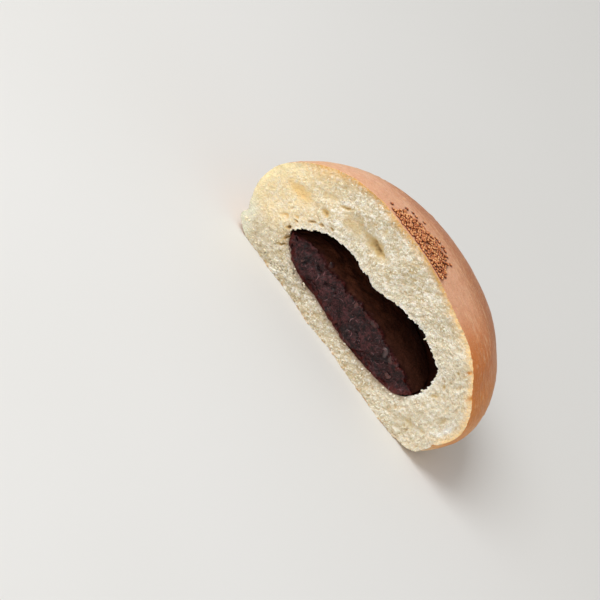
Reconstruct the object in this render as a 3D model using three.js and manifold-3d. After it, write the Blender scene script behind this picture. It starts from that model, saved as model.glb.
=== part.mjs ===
// One half of a round baked bun filled with sweet bean paste, standing on its flat base.
// The cut face shows the crumb, the paste, and the hollow that baking leaves over the paste.
// Units are millimetres. X runs along the cut face, Y from the cut face into the half, and Z up.
import * as THREE from "three";
import { mergeVertices } from "three/addons/utils/BufferGeometryUtils.js";
import Module from "manifold-3d";

const manifold = await Module();
manifold.setup();

// ---------- Driving dimensions ----------

// Side profiles of the bun, as [radius, height] from the edge of the flat base up to the top.
const TOP_HEIGHT = 43.5;
const RIGHT_SIDE = [
  [35, 0], [39.6, 1], [43.5, 2.9], [45.7, 6], [47.4, 10], [48.3, 13.3], [48.5, 17.3],
  [47.4, 21.8], [45, 25.7], [41.6, 29], [36.5, 34.1], [30, 37.6], [22.2, 39.8], [11.1, 42.3],
  [0, TOP_HEIGHT],
];
const BACK_SIDE = [
  [37, 0], [41.4, 1], [44.2, 3.1], [45.7, 6.6], [46.8, 10.6], [47.3, 14], [47.5, 17.8],
  [47, 22.6], [44.7, 27.5], [41, 31.7], [35.8, 35.5], [29.3, 38.8], [21.2, 41.5], [11, 43.1],
  [0, TOP_HEIGHT],
];
// The left side keeps a pinched lip at its foot, with a crease over it.
const LEFT_SIDE = [
  [38, 0], [41.6, 1.4], [43.8, 2.7], [44.4, 4.3], [43.9, 6.3], [45.4, 8.9], [47.3, 12.9],
  [48, 17.6], [47.2, 23], [43.7, 28.7], [39.2, 33.5], [33.8, 37.6], [27.3, 40.7],
  [15.1, 43.2], [0, TOP_HEIGHT],
];
const SIDE_ROWS = 26; // rows of facets on the crust, from the base to the top
const BASE_ROWS = 10; // rows of facets on the base, from its middle to its edge
const SKIN_EDGE = 3.4; // length of a facet along a row

// The bun isn't quite round: waves round its turn and up its height swell its radius by these
// shares, most at the back.
const LOBES = [
  { size: 0.012, across: 2, up: 0, start: Math.PI },
  { size: 0.007, across: 3, up: 0, start: 0.6 },
  { size: 0.005, across: 5, up: 0.11, start: 0 },
];

// The cut squeezed the foot of the crust inwards at its right end.
const SQUEEZE = { depth: 1.6, height: 8.5, halfHeight: 7.5, halfWidth: 4 };

// Outline of the pocket in the cut face, as [x, z], anticlockwise from the middle of its floor.
const POCKET_OUTLINE = [
  [2, 5.5], [13, 6.1], [24.8, 8.3], [29.7, 12.6], [31.2, 18.3], [30.4, 23.8], [23.5, 26.6],
  [15.2, 28.2], [6, 26.3], [-3, 24.2], [-13, 24.7], [-21.8, 22.4], [-27.7, 17.6], [-30.2, 12.9],
  [-26.6, 9.2], [-20, 6.8], [-9, 6.5],
];
const POCKET_MIDDLE = [0.5, 13]; // where the pocket closes at its back, as [x, z]
const POCKET_DEPTH = 29;
const POCKET_BLUNTNESS = 2.3; // 2 is a half ellipsoid, more is blunter
const POCKET_RINGS = 7; // rings of facets from the cut face to the back
const CUT_RINGS = 5; // rings of facets from the edge of the cut face to the pocket

// The paste lies on the floor of the pocket with a small gap, and its top, as [x, z] from its
// left tip to its right tip, is the floor of the hollow.
const PASTE_GAP = 0.4;
const PASTE_LEFT_TIP = [-29.5, 13.1];
const PASTE_RIGHT_TIP = [29, 12.9];
const PASTE_TOP = [
  [-26.6, 14.2], [-21, 16], [-13, 15.6], [-3, 16.5], [6, 17], [15, 15.7], [22, 14.9],
];
const PASTE_STEPS = 30; // facets along its floor, and along its top
const PASTE_ROWS = 6; // rows of facets from its floor to its top
const PASTE_RINGS = 8; // rings of facets from the cut face to the back

// Waves of the torn crumb, and lumps of the paste.
const TEAR_WAVES = [
  { size: 0.32, across: 0.2, up: 0.14, start: 0 },
  { size: 0.26, across: 0.37, up: -0.26, start: 1.3 },
  { size: 0.2, across: 0.3, up: 0.45, start: 0.4 },
];
const PASTE_LUMPS = [
  { size: 0.3, across: 0.53, up: 0.38, start: 0 },
  { size: 0.25, across: 0.27, up: -0.59, start: 2.1 },
];

// Smooth gas cells that the cut opened. The tilt is in degrees.
const GAS_CELLS = [
  { x: -37.2, z: 23, halfLength: 4.2, halfWidth: 1.6, tilt: 10, depth: 0.9 },
  { x: -10.5, z: 32, halfLength: 5.8, halfWidth: 1.6, tilt: 2, depth: 1.6 },
  { x: -27.6, z: 25.6, halfLength: 1.5, halfWidth: 0.8, tilt: 20, depth: 1.2 },
];

// Poppy seeds lie in a round patch on top, which the cut halves, with a few strays round it.
const PATCH_X = -2.9;
const PATCH_RADIUS = 12.3;
const STRAY_RADIUS = 15.5;
const SEED_HALF_SIZES = [0.48, 0.4, 0.36];
const SEED_RISE = 0.12; // how far a seed's middle lies over the crust
const SEED_PITCH = 0.93; // least distance between two seeds
const SEED_EDGE_GAP = 0.7; // least distance from a seed's middle to the cut
const PATCH_DARTS = 1600;
const STRAY_DARTS = 26;
const RANDOM_SEED = 20;

// ---------- Shape helpers ----------

// Repeatable numbers from 0 to 1.
function randomSource(state) {
  return () => {
    state = (Math.imul(state, 1664525) + 1013904223) >>> 0;
    return state / 4294967296;
  };
}

// Sum of slanted sine waves at a place.
function waveSum(waves, across, up) {
  const sizes = waves.map((w) => w.size * Math.sin(across * w.across + up * w.up + w.start));
  return sizes.reduce((sum, size) => sum + size, 0);
}

// A point [a, b] on the way from one such point to another.
function between(from, to, share) {
  return [0, 1].map((axis) => THREE.MathUtils.lerp(from[axis], to[axis], share));
}

// Evenly spaced points on a smooth line through [x, z] points, with one more than steps where
// the line is open.
function evenSteps(points, steps, closed = false) {
  const corners = points.map(([x, z]) => new THREE.Vector3(x, 0, z));
  const curve = new THREE.CatmullRomCurve3(corners, closed, "catmullrom", 0.5);
  curve.arcLengthDivisions = 2000;
  const spaced = curve.getSpacedPoints(steps).map((point) => [point.x, point.z]);
  return closed ? spaced.slice(0, steps) : spaced;
}

// Even steps up a side profile, smoothed together with its mirror image, so that its top is level.
function profileSteps(profile, steps) {
  const mirrored = profile.slice(0, -1).map(([radius, height]) => [-radius, height]);
  const spaced = evenSteps([...profile, ...mirrored.reverse()], 2 * steps);
  return [...spaced.slice(0, steps), profile.at(-1)];
}

// How far the torn crumb lies behind the cut plane at x, z.
function tearDepth(x, z) {
  let depth = waveSum(TEAR_WAVES, x, z);
  for (const cell of GAS_CELLS) {
    const tilt = THREE.MathUtils.degToRad(cell.tilt);
    const along = (x - cell.x) * Math.cos(tilt) + (z - cell.z) * Math.sin(tilt);
    const across = (z - cell.z) * Math.cos(tilt) - (x - cell.x) * Math.sin(tilt);
    const away = Math.hypot(along / cell.halfLength, across / cell.halfWidth);
    depth += cell.depth * Math.exp(-(away ** 3));
  }
  return depth;
}

// Collects points and triangles, and closes them into one indexed geometry.
class Surface {
  points = [];
  triangles = [];

  add(x, y, z) {
    return this.points.push([x, y, z]) - 1;
  }

  // Joins two rows of vertices that run the same way. They may differ in length, or share ends.
  stitch(lower, upper) {
    const share = (index, row) => (row.length > 1 ? index / (row.length - 1) : 2);
    let i = 0;
    let j = 0;
    while (i < lower.length - 1 || j < upper.length - 1) {
      if (share(i + 1, lower) <= share(j + 1, upper)) {
        this.triangles.push([lower[i], lower[i + 1], upper[j]]);
        i++;
      } else {
        this.triangles.push([lower[i], upper[j + 1], upper[j]]);
        j++;
      }
    }
  }

  stitchLoops(outer, inner) {
    this.stitch([...outer, outer[0]], [...inner, inner[0]]);
  }

  toGeometry() {
    const whole = this.triangles.filter(([a, b, c]) => a !== b && b !== c && c !== a);
    const geometry = new THREE.BufferGeometry();
    geometry.setAttribute("position", new THREE.Float32BufferAttribute(this.points.flat(), 3));
    geometry.setIndex(whole.flat());
    return mergeVertices(geometry, 1e-3);
  }
}

function toSolid(geometry) {
  const mesh = new manifold.Mesh({
    numProp: 3,
    vertProperties: geometry.attributes.position.array,
    triVerts: new Uint32Array(geometry.index.array),
  });
  return new manifold.Manifold(mesh);
}

function toMesh(name, solid, material) {
  const { vertProperties, triVerts } = solid.getMesh();
  const geometry = new THREE.BufferGeometry();
  geometry.setAttribute("position", new THREE.BufferAttribute(vertProperties, 3));
  geometry.setIndex(new THREE.BufferAttribute(triVerts, 1));
  geometry.computeVertexNormals();
  const mesh = new THREE.Mesh(geometry, new THREE.MeshStandardMaterial(material));
  mesh.name = name;
  return mesh;
}

// ---------- Bread ----------

// Radius and height of the crust at an azimuth, from a [radius, height] on each side.
function skinPoint([right, back, left], azimuth) {
  const side = azimuth < Math.PI / 2 ? right : left;
  const [radius, height] = between(back, side, Math.cos(azimuth) ** 2);
  const swell = 1 + Math.sin(azimuth) * waveSum(LOBES, azimuth, height);
  const fromCut = (radius * azimuth) / SQUEEZE.halfWidth;
  const away = Math.hypot(fromCut, (height - SQUEEZE.height) / SQUEEZE.halfHeight);
  return [radius * swell - SQUEEZE.depth * Math.exp(-(away ** 2)), height];
}

// Adds one row of the crust or the base, from the right end of the cut face round the back to
// its left end, with its radii scaled.
function addRow(surface, sides, scale = 1) {
  const [, [backRadius, backHeight]] = sides;
  if (scale * backRadius === 0) return [surface.add(0, 0, backHeight)];
  const segments = Math.max(2, Math.round((Math.PI * scale * backRadius) / SKIN_EDGE));
  return Array.from({ length: segments + 1 }, (_, i) => {
    const azimuth = (Math.PI * i) / segments;
    const [radius, height] = skinPoint(sides, azimuth);
    const reach = scale * radius;
    return surface.add(reach * Math.cos(azimuth), reach * Math.sin(azimuth), height);
  });
}

// Adds the flat base and the crust, and returns the outline of the cut face, anticlockwise from
// the middle of the base.
function addSkin(surface) {
  const sides = [RIGHT_SIDE, BACK_SIDE, LEFT_SIDE].map((side) => profileSteps(side, SIDE_ROWS));
  const baseEdge = sides.map((side) => side[0]);
  const rows = [];
  for (let i = 0; i < BASE_ROWS; i++) rows.push(addRow(surface, baseEdge, i / BASE_ROWS));
  for (let i = 0; i <= SIDE_ROWS; i++) rows.push(addRow(surface, sides.map((side) => side[i])));
  for (let i = 1; i < rows.length; i++) surface.stitch(rows[i - 1], rows[i]);
  const rightEnds = rows.map((row) => row[0]);
  const leftEnds = rows.slice(1, -1).map((row) => row.at(-1));
  return [...rightEnds, ...leftEnds.reverse()];
}

// Adds the crumb between the outline of the cut face and the pocket, and returns the pocket's rim.
function addCutFace(surface, outline) {
  const rim = evenSteps(POCKET_OUTLINE, outline.length, true);
  let outer = outline;
  for (let ring = 1; ring <= CUT_RINGS; ring++) {
    const inner = outline.map((vertex, i) => {
      const [edgeX, , edgeZ] = surface.points[vertex];
      const [x, z] = between([edgeX, edgeZ], rim[i], ring / CUT_RINGS);
      return surface.add(x, 0, z);
    });
    surface.stitchLoops(outer, inner);
    outer = inner;
  }
  return outer;
}

// Carries a place [x, z] of the cut face back to a section of the pocket, or of the paste in it.
// The turn goes from 0 at the cut face to 1 at the back, where the sections shrink to a point.
function sectionPoint(place, turn, depth) {
  const angle = (turn * Math.PI) / 2;
  const [x, z] = between(POCKET_MIDDLE, place, Math.cos(angle) ** (2 / POCKET_BLUNTNESS));
  return [x, depth * Math.sin(angle) ** (2 / POCKET_BLUNTNESS), z];
}

function addPocket(surface, rim) {
  const places = rim.map((vertex) => [surface.points[vertex][0], surface.points[vertex][2]]);
  let outer = rim;
  for (let ring = 1; ring < POCKET_RINGS; ring++) {
    const turn = ring / POCKET_RINGS;
    const inner = places.map((place) => surface.add(...sectionPoint(place, turn, POCKET_DEPTH)));
    surface.stitchLoops(outer, inner);
    outer = inner;
  }
  const back = surface.add(POCKET_MIDDLE[0], POCKET_DEPTH, POCKET_MIDDLE[1]);
  surface.stitch([...outer, outer[0]], [back]);
}

function makeBunGeometry() {
  const surface = new Surface();
  const outline = addSkin(surface);
  const rim = addCutFace(surface, outline);
  addPocket(surface, rim);
  const inCut = surface.points.filter(([, y]) => y < 1e-6);
  for (const point of inCut) point[1] = tearDepth(point[0], point[2]);
  return surface.toGeometry();
}

// Places for the seeds, thrown as darts: one too close to another seed or to the cut is lost.
function seedPlaces() {
  const random = randomSource(RANDOM_SEED);
  const places = [];
  for (let dart = 0; dart < PATCH_DARTS + STRAY_DARTS; dart++) {
    const reach = dart < PATCH_DARTS ? PATCH_RADIUS : STRAY_RADIUS;
    const radius = reach * Math.sqrt(random());
    const azimuth = Math.PI * random();
    const spin = Math.PI * random();
    const size = 0.9 + 0.2 * random();
    const x = PATCH_X + radius * Math.cos(azimuth);
    const y = radius * Math.sin(azimuth);
    const clear = places.every((place) => Math.hypot(place.x - x, place.y - y) > SEED_PITCH);
    if (y > SEED_EDGE_GAP && clear) places.push({ x, y, spin, size });
  }
  return places;
}

// A seed has twenty sides. It is dropped on the crust and turned to lie flat on it.
function makeSeed({ x, y, spin, size }, bun) {
  const above = new THREE.Vector3(x, y, 2 * TOP_HEIGHT);
  const caster = new THREE.Raycaster(above, new THREE.Vector3(0, 0, -1));
  const { point, face } = caster.intersectObject(bun)[0];
  const upright = new THREE.Vector3(0, 0, 1);
  const turn = new THREE.Quaternion().setFromUnitVectors(upright, face.normal);
  turn.multiply(new THREE.Quaternion().setFromAxisAngle(upright, spin));
  const scale = new THREE.Vector3(...SEED_HALF_SIZES).multiplyScalar(size);
  point.addScaledVector(face.normal, SEED_RISE);
  const geometry = new THREE.IcosahedronGeometry(1);
  geometry.deleteAttribute("normal");
  geometry.deleteAttribute("uv");
  geometry.applyMatrix4(new THREE.Matrix4().compose(point, turn, scale));
  return toSolid(mergeVertices(geometry, 1e-3));
}

function makeBread() {
  const geometry = makeBunGeometry();
  const bun = new THREE.Mesh(geometry);
  const seeds = seedPlaces().map((place) => makeSeed(place, bun));
  const solid = manifold.Manifold.union([toSolid(geometry), ...seeds]);
  return toMesh("bread", solid, { color: 0xd09a68, roughness: 0.5, metalness: 0 });
}

// ---------- Bean paste ----------

// Adds the cut face of the paste in rows that share its two tips, and returns its outline,
// anticlockwise from the left tip.
function addPasteFace(surface) {
  const onFloor = POCKET_OUTLINE.filter(([, z]) => z < PASTE_RIGHT_TIP[1] - 1);
  const raised = onFloor.sort(([a], [b]) => a - b).map(([x, z]) => [x, z + PASTE_GAP]);
  const spread = (line) => evenSteps([PASTE_LEFT_TIP, ...line, PASTE_RIGHT_TIP], PASTE_STEPS);
  const floor = spread(raised);
  const top = spread(PASTE_TOP);
  const addPoint = ([x, z]) => surface.add(x, waveSum(PASTE_LUMPS, x, z), z);
  const leftTip = addPoint(PASTE_LEFT_TIP);
  const rightTip = addPoint(PASTE_RIGHT_TIP);
  const rows = [];
  for (let row = 0; row <= PASTE_ROWS; row++) {
    const line = floor.map((point, i) => between(point, top[i], row / PASTE_ROWS));
    rows.push([leftTip, ...line.slice(1, -1).map(addPoint), rightTip]);
  }
  for (let row = 1; row <= PASTE_ROWS; row++) surface.stitch(rows[row - 1], rows[row]);
  return [...rows[0], ...rows[PASTE_ROWS].slice(1, -1).reverse()];
}

function makePaste() {
  const surface = new Surface();
  const rim = addPasteFace(surface);
  const places = rim.map((vertex) => [surface.points[vertex][0], surface.points[vertex][2]]);
  const depth = POCKET_DEPTH - PASTE_GAP;
  const [middleX, middleZ] = POCKET_MIDDLE;
  const rise = Math.max(...PASTE_TOP.map(([, z]) => z)) - middleZ;
  let outer = rim;
  for (let ring = 1; ring < PASTE_RINGS; ring++) {
    const inner = places.map((place) => {
      const [x, y, z] = sectionPoint(place, ring / PASTE_RINGS, depth);
      const onTop = Math.max(0, z - middleZ) / rise;
      return surface.add(x, y, z + onTop * waveSum(PASTE_LUMPS, x, y));
    });
    surface.stitchLoops(inner, outer);
    outer = inner;
  }
  const back = surface.add(middleX, depth, middleZ);
  surface.stitch([back], [...outer, outer[0]]);
  const solid = toSolid(surface.toGeometry());
  return toMesh("bean_paste", solid, { color: 0x3a2020, roughness: 0.35, metalness: 0 });
}

// ---------- Assembly ----------

// The origin is under the middle of the half, at the level of its base.
const half = new THREE.Group();
half.add(makeBread(), makePaste());
const box = new THREE.Box3().setFromObject(half);
const middle = box.getCenter(new THREE.Vector3());
half.position.set(-middle.x, -middle.y, -box.min.z);

export default half;
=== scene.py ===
"""The looks of half a bean paste bun, cut upright and standing on its flat base.

Shapes are worked out in millimetres in the bun's own frame, with X along the cut face, Y from
the cut face into the bun, and Z up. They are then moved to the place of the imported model.
"""
import itertools
import math

import bpy
import numpy as np
from mathutils import Matrix, Vector
from mathutils.bvhtree import BVHTree


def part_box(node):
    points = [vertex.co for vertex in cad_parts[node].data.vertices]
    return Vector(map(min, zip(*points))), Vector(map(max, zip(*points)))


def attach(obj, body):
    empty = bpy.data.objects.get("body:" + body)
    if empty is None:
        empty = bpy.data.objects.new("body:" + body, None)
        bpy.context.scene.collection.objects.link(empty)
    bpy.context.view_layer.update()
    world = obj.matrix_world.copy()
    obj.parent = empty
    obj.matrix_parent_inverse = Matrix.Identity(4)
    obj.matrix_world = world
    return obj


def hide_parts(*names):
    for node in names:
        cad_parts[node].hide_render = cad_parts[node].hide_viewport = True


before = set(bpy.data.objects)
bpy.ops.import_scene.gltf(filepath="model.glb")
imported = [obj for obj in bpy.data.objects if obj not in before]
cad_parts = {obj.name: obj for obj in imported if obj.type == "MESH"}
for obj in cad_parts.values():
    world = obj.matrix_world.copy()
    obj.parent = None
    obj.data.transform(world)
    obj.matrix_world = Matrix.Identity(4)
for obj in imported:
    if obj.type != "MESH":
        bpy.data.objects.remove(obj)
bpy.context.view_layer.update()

# --- Driving dimensions, in millimetres ---

MM = 0.001

# Side profiles of the bun, as (radius, height) from the edge of the flat base up to the top.
TOP_HEIGHT = 43.5
RIGHT_SIDE = [
    (35, 0), (39.6, 1), (43.5, 2.9), (45.7, 6), (47.4, 10), (48.3, 13.3), (48.5, 17.3),
    (47.4, 21.8), (45, 25.7), (41.6, 29), (36.5, 34.1), (30, 37.6), (22.2, 39.8),
    (11.1, 42.3), (0, TOP_HEIGHT),
]
BACK_SIDE = [
    (37, 0), (41.4, 1), (44.2, 3.1), (45.7, 6.6), (46.8, 10.6), (47.3, 14), (47.5, 17.8),
    (47, 22.6), (44.7, 27.5), (41, 31.7), (35.8, 35.5), (29.3, 38.8), (21.2, 41.5),
    (11, 43.1), (0, TOP_HEIGHT),
]
LEFT_SIDE = [
    (38, 0), (41.6, 1.4), (43.8, 2.7), (44.4, 4.3), (43.9, 6.3), (45.4, 8.9), (47.3, 12.9),
    (48, 17.6), (47.2, 23), (43.7, 28.7), (39.2, 33.5), (33.8, 37.6), (27.3, 40.7),
    (15.1, 43.2), (0, TOP_HEIGHT),
]
# Waves are (size, across, up, start). These swell the radius by a share of it.
LOBES = [(0.012, 2, 0, math.pi), (0.007, 3, 0, 0.6), (0.005, 5, 0.11, 0)]
# Pinches of the crust at the right end, as (depth, height, half height, half width).
PINCHES = [(1.6, 8.5, 7.5, 4), (0.7, 9.2, 0.8, 2.5)]
COLUMN_CROWDING = 0.2  # how much closer together the columns of the crust are at the cut

# The pocket in the cut face, as (x, z), anticlockwise from the middle of its floor.
POCKET_OUTLINE = [
    (2, 5.5), (13, 6.1), (24.8, 8.3), (29.7, 12.6), (31.2, 18.3), (30.4, 23.8), (23.5, 26.6),
    (15.2, 28.2), (6, 26.3), (-3, 24.2), (-13, 24.7), (-21.8, 22.4), (-27.7, 17.6),
    (-30.2, 12.9), (-26.6, 9.2), (-20, 6.8), (-9, 6.5),
]
POCKET_MIDDLE = np.array([0.5, 13])
POCKET_DEPTH = 29
POCKET_BLUNTNESS = 2.3
SECTION_CROWDING = 1.8  # how much closer together its sections are at the cut

# The paste on the floor of the pocket. It sinks a little into the crumb that it sticks to.
PASTE_SINK = 0.15
PASTE_DEPTH = POCKET_DEPTH - 1
PASTE_SETBACK = 0.3  # from the cut plane
PASTE_CALM_TURN = 0.07  # where the ragged top edge of its face has faded out behind it
PASTE_BURIED_RELIEF = 0.15  # share of the relief that is left where crumb covers the paste
PASTE_INSIDE_RELIEF = 0.4  # share of the relief that is left inside the hollow
PASTE_LEFT_TIP = (-29.8, 13.1)
PASTE_RIGHT_TIP = (29.4, 12.8)
PASTE_TOP = [
    (-26.6, 14.2), (-21, 16), (-13, 15.6), (-3, 16.5), (6, 17), (15, 15.7), (22, 14.9),
]
TEAR_WAVES = [(0.32, 0.2, 0.14, 0), (0.26, 0.37, -0.26, 1.3), (0.2, 0.3, 0.45, 0.4)]
PASTE_LUMPS = [(0.3, 0.53, 0.38, 0), (0.25, 0.27, -0.59, 2.1)]

# Hollows that the cut opened in the crumb, as (x, z, half length, half width, tilt, depth,
# tint). The tint goes from 0, as pale as the crumb, to 1, dark brown: partly the tan of the
# opened crumb and partly painted shade, darkest in the fissures.
HOLLOWS = [
    (-37.2, 23, 5, 2, 10, 0.6, 0.5),
    (-11, 31.9, 5.8, 2.1, 4, 0.9, 0.5),
    (-9.6, 31.8, 4, 1.5, 4, 1.2, 0.84),
    (-18.2, 32.3, 2.6, 1.5, 0, 0.7, 0.38),
    (-19, 30.4, 5.5, 2.6, 0, 0.3, 0.36),
    (-11.3, 37.6, 1.4, 1.1, 40, 0.5, 0.34),
    (-29.8, 30.2, 2.6, 1.4, 20, 0.5, 0.3),
    (-27.6, 25.8, 1.4, 0.8, 20, 1.2, 0.75),
    (-24.5, 31.7, 1.7, 0.5, 35, 0.9, 0.65),
    (-35.3, 14.3, 1.3, 0.6, 50, 0.6, 0.5),
    (-32.1, 17.6, 1, 0.6, 0, 0.6, 0.45),
    (34.3, 23.3, 0.9, 0.7, 0, 0.8, 0.5),
    (34.3, 18.9, 1.3, 0.6, 60, 0.7, 0.5),
    (35.1, 6.7, 2.2, 0.9, 5, 0.8, 0.34),
    (39.3, 8.3, 1.8, 0.9, 30, 0.7, 0.34),
    (41.8, 16.4, 1.9, 0.9, 75, 0.7, 0.32),
    (34.2, 29.5, 0.7, 0.6, 0, 0.8, 0.5),
    (39.2, 12.2, 1.2, 0.7, 40, 0.6, 0.3),
    (37.6, 26.4, 1.1, 0.8, 70, 0.6, 0.3),
    # Torn fissures and small holes close to the pocket, painted dark brown as shade.
    (-29.8, 10.6, 1.9, 0.42, 75, 1.2, 1),
    (-29.6, 7.6, 1.5, 0.38, 60, 1.1, 1),
    (-31.6, 13.2, 1.3, 0.38, 55, 1.1, 1),
    (-31.4, 16.4, 0.9, 0.4, 20, 1, 0.9),
    (-27.9, 20.4, 1.2, 0.42, 50, 1.2, 1),
    (-25.6, 22.6, 1, 0.4, 30, 1.1, 1),
    (-22.4, 24.6, 0.6, 0.35, 10, 0.9, 0.9),
]

# Snow-white tufts of crumb, as (x, z, half length, half width, tilt).
WHITE_TUFTS = [(44.6, 15.6, 1.9, 0.8, 75), (43.9, 12.6, 1.2, 0.7, 60), (30.6, 13.6, 2, 0.7, 55)]

# Spots where the crust reaches into the cut face, like the tufts.
CRUST_SPOTS = [(42.3, 28.6, 1.8, 0.7, 70), (36.2, 32.6, 1, 0.5, 60)]

# Places of larger bits of bean on the face of the paste, as (x, z).
BEAN_SPOTS = [(6.8, 16.6), (15.2, 14.3), (17.6, 13.9), (-14.9, 15.2)]

# Loose tufts of torn crumb on the cut face, which keep a gap to the crust.
LOOSE_TUFTS = 800
TUFT_EDGE_GAP = 1.2
TUFT_SIZES = (0.45, 1.1)
TUFT_WARP = 0.16
CUT_CORNERS = ((-46, 0.8), (46, 42))  # lowest and highest (x, z) where a tuft may lie

# Shreds of bean skin on the face of the paste. Flakes lie at the bean spots, and by some shreds.
BEAN_SKINS = 150
SKIN_RANGES = ((-28, 28), (6, 18))  # of x and of z
SKIN_LEAN = 0.4
MORE_FLAKES = 8
FLAKE_LEAN = 0.25
FLAKE_WARP = 0.3
BEAN_SIZES = (0.5, 1.35)

# How finely the surfaces are divided.
SIDE_ROWS = 225
BASE_ROWS = 110
SKIN_COLUMNS = 180
CUT_RINGS = 70
POCKET_RINGS = 24
PASTE_STEPS = 250
PASTE_ROWS = 44
PASTE_RINGS = 44
CURVE_FINENESS = 60  # points on a curve between two corners

# Poppy seeds in a round patch on top, which the cut halves.
PATCH_X = -2.9
PATCH_RADIUS = 12.3
PATCH_UNEVENNESS = 0.09  # of its radius
SEED_PITCH = 0.92
SEED_SHAKE = 0.2
SEED_SIZES = (0.85, 1.12)
SEED_EDGE_GAP = 0.7  # at most; each seed draws its own
SEED_RISE = 0.14
SEEDS_KEPT = 0.95  # share of the places in the patch that have a seed
STRAY_SEEDS = 16
STRAY_DISTANCES = (0.6, 3)  # outside the patch
UPPER_SEEDS = 26
UPPER_STEP = (0.4, 0.3, 0.55)  # from the seed below

# Small bodies, as (length, width, thickness, bend, rings, sides) for make_pod.
TUFT_BODY = (0.95, 0.6, 0.42, 0.15, 6, 8)
SEED_BODY = (1.02, 0.8, 0.74, 0.09, 9, 10)
SKIN_BODY = (1.7, 0.2, 0.12, 0.4, 9, 10)
FLAKE_BODY = (2.6, 1.7, 0.5, 0.3, 9, 10)

RANDOM_SEED = 20
IN_FRONT = -9  # a place along Y in front of the cut face

# Which material a triangle of the bread has.
CRUST, CRUMB, POCKET = range(3)

# --- Numbers ---


def wave_sum(waves, across, up):
    """Sum of slanted sine waves at a place."""
    return sum(size * np.sin(across * a + up * u + start) for size, a, u, start in waves)


def between(start, end, share):
    return start + (end - start) * share


def ease(value, low, high):
    """Rises smoothly from 0 to 1 as the value goes from low to high."""
    share = np.clip((value - low) / (high - low), 0, 1)
    return share * share * (3 - 2 * share)


def hash_cells(cells, salt):
    """A repeatable number from 0 to 1 for each whole-numbered cell."""
    mixed = np.full(cells.shape[:-1], salt, np.uint32)
    for axis in range(cells.shape[-1]):
        mixed ^= cells[..., axis].astype(np.int64).astype(np.uint32)
        mixed *= np.uint32(2654435761)
        mixed ^= mixed >> np.uint32(15)
    return mixed / 2**32


def noise(points, size, salt=0):
    """Smooth noise from -1 to 1, with its bumps about a size apart."""
    scaled = points / size
    cell = np.floor(scaled)
    share = ease(scaled - cell, 0, 1)
    total = 0
    for corner in itertools.product((0, 1), repeat=points.shape[-1]):
        weight = np.prod(np.where(corner, share, 1 - share), axis=-1)
        total = total + weight * hash_cells(cell + corner, salt)
    return 2 * total - 1


def rough_noise(points, size, salt=0):
    """Noise of three sizes, each half the last."""
    octaves = (noise(points, size / 2**i, salt + i) / 2**i for i in range(3))
    return sum(octaves) / 1.75


def pits(points, pitch, radius, salt=0):
    """Round pits at scattered places: 1 in the middle of each, and 0 between them."""
    scaled = points / pitch
    cell = np.floor(scaled)
    axes = range(points.shape[-1])
    deepest = np.zeros(points.shape[:-1])
    for step in itertools.product((-1, 0, 1), repeat=points.shape[-1]):
        near = cell + step
        centre = near + np.stack([hash_cells(near, salt + axis) for axis in axes], axis=-1)
        distance = np.linalg.norm(scaled - centre, axis=-1) * pitch
        own_radius = radius * (0.4 + 0.9 * hash_cells(near, salt + 7))
        deepest = np.maximum(deepest, ease(1 - distance / own_radius, 0, 0.8))
    return deepest


def warp(points, size, salt):
    """Smooth noise from -1 to 1 along each axis."""
    return np.stack([noise(points, size, salt + axis) for axis in range(3)], axis=-1)


def tufts(points, size, salt=0):
    """Rounded tufts from 0 to 1, with sharp creases between them."""
    return np.abs(noise(points, size, salt))


def distance_to(places, points, slices=60):
    """Distance of each point to the nearest of some places, worked out in slices."""
    parts = np.array_split(points, slices)
    return np.concatenate(
        [np.linalg.norm(part[:, None] - places, axis=-1).min(axis=1) for part in parts]
    )


# --- Lines and surfaces ---


def even_steps(points, steps, closed=False):
    """Evenly spaced points on a Catmull-Rom curve, with one more than steps where it is open."""
    points = np.asarray(points, float)
    if closed:
        knots = np.concatenate([points[-1:], points, points[:2]])
    else:
        before = 2 * points[:1] - points[1:2]
        after = 2 * points[-1:] - points[-2:-1]
        knots = np.concatenate([before, points, after])
    t = np.linspace(0, 1, CURVE_FINENESS, endpoint=False)[:, None]
    spans = [
        b + t / 2 * (c - a + t * (2 * a - 5 * b + 4 * c - d + t * (3 * (b - c) + d - a)))
        for a, b, c, d in zip(knots, knots[1:], knots[2:], knots[3:])
    ]
    line = np.concatenate([*spans, points[:1] if closed else points[-1:]])
    along = np.append(0, np.cumsum(np.linalg.norm(np.diff(line, axis=0), axis=1)))
    places = np.linspace(0, along[-1], steps + 1)
    spaced = np.stack([np.interp(places, along, line[:, axis]) for axis in (0, 1)], axis=1)
    return spaced[:-1] if closed else spaced


def profile_steps(profile, steps):
    """Even steps up a side profile, smoothed together with its mirror image."""
    mirrored = [(-radius, height) for radius, height in profile[-2::-1]]
    return even_steps([*profile, *mirrored], 2 * steps)[: steps + 1]


def at_cut(places):
    """Points of the cut plane at places (x, z)."""
    return np.stack([places[..., 0], np.zeros(places.shape[:-1]), places[..., 1]], axis=-1)


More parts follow.
